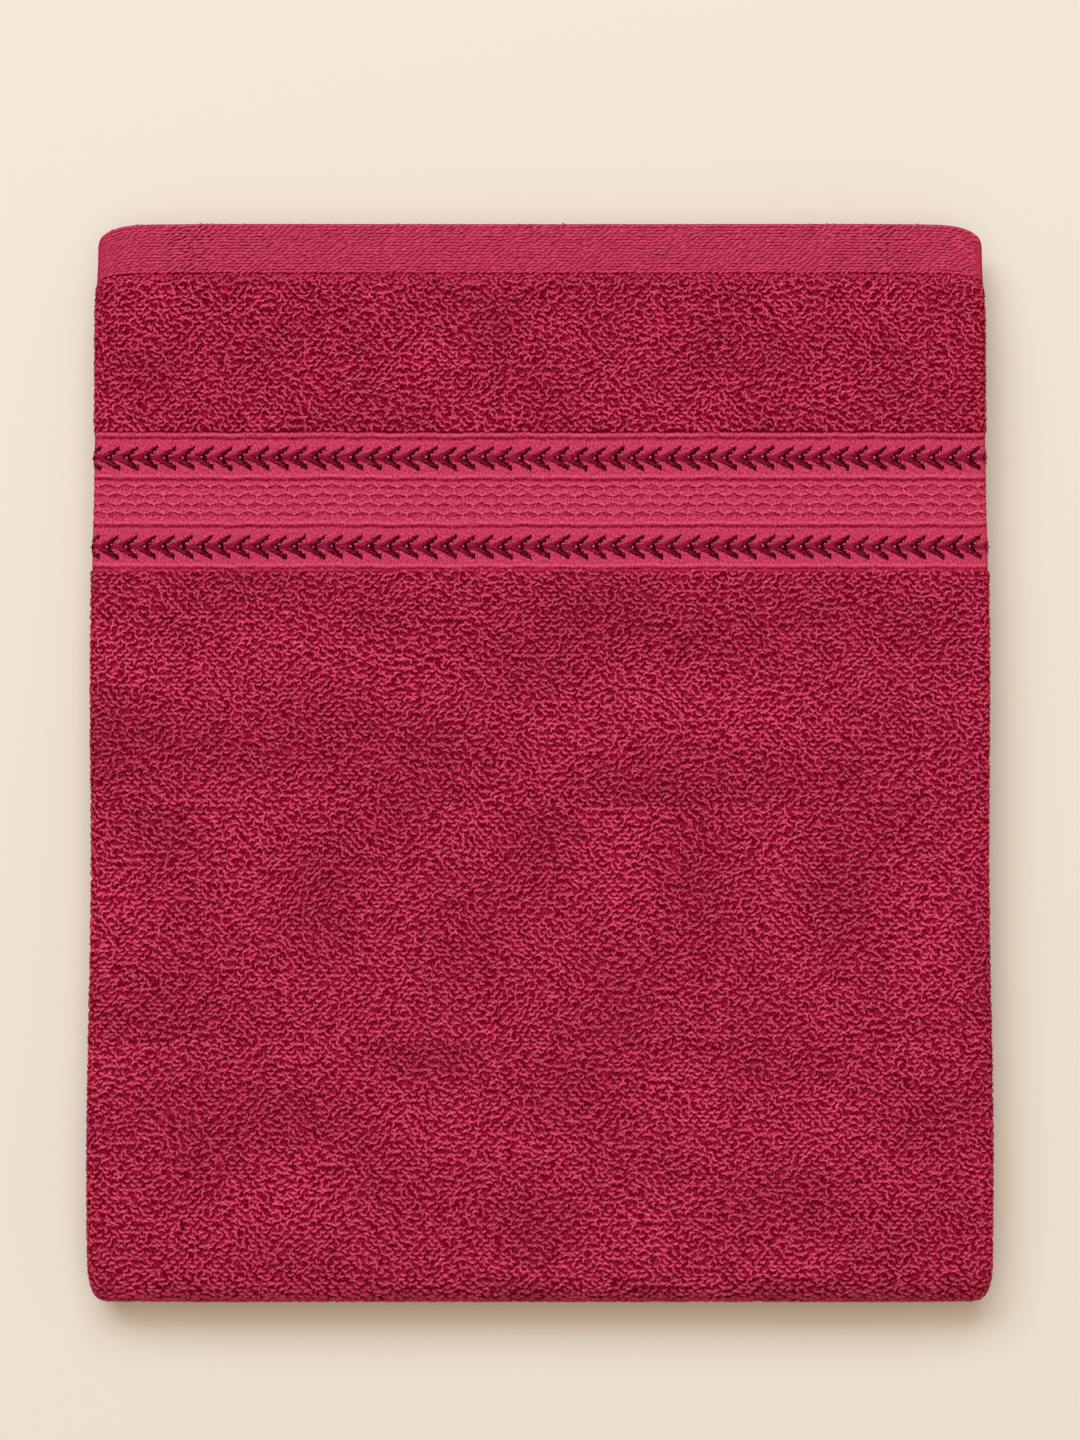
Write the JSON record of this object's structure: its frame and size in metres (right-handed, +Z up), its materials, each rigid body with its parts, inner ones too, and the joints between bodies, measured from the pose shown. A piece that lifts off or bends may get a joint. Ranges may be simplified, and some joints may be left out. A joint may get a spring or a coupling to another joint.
{
  "type": "folded bath towel",
  "caption": "Terry bath towel folded in half across and in three along, with its flat hem and woven arrowhead border on top.",
  "frame": {"origin": "under the middle of the folded stack, on the surface it rests on", "axes": "+Z up, +Y towards the hemmed end that lies on top, +X to the right of that"},
  "size_m": [0.3824, 0.4556, 0.026],
  "materials": {
    "terry": "crimson cotton terry with uncut loops",
    "flat_weave": "crimson flat-woven cotton",
    "figure_yarn": "dark maroon raised cotton yarn"
  },
  "bodies": {
    "root": {"towel": "terry"}
  },
  "joints": []
}
